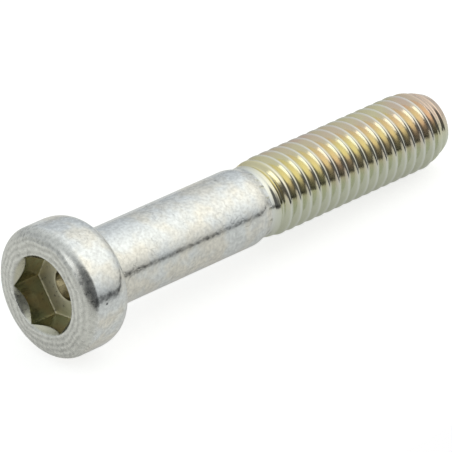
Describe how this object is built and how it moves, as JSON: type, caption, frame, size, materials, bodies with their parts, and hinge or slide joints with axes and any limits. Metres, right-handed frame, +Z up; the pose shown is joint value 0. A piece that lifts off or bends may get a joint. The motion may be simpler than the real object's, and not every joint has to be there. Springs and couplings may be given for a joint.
{
  "type": "socket head cap screw",
  "caption": "Low-head hexagon socket cap screw with a pilot hole in the socket, a plain shank, a rolled thread and a chamfered point, lying on its side.",
  "frame": {"origin": "on the ground under the middle of the lying screw", "axes": "+Z up, +X along the ground from the head towards the point, +Y across the screw"},
  "size_m": [0.0394, 0.0098, 0.0099],
  "materials": {
    "zinc_plated_steel": "electroplated zinc with a pale iridescent chromate, yellower in the thread and the socket"
  },
  "bodies": {
    "root": {"screw": "zinc_plated_steel"}
  },
  "joints": []
}
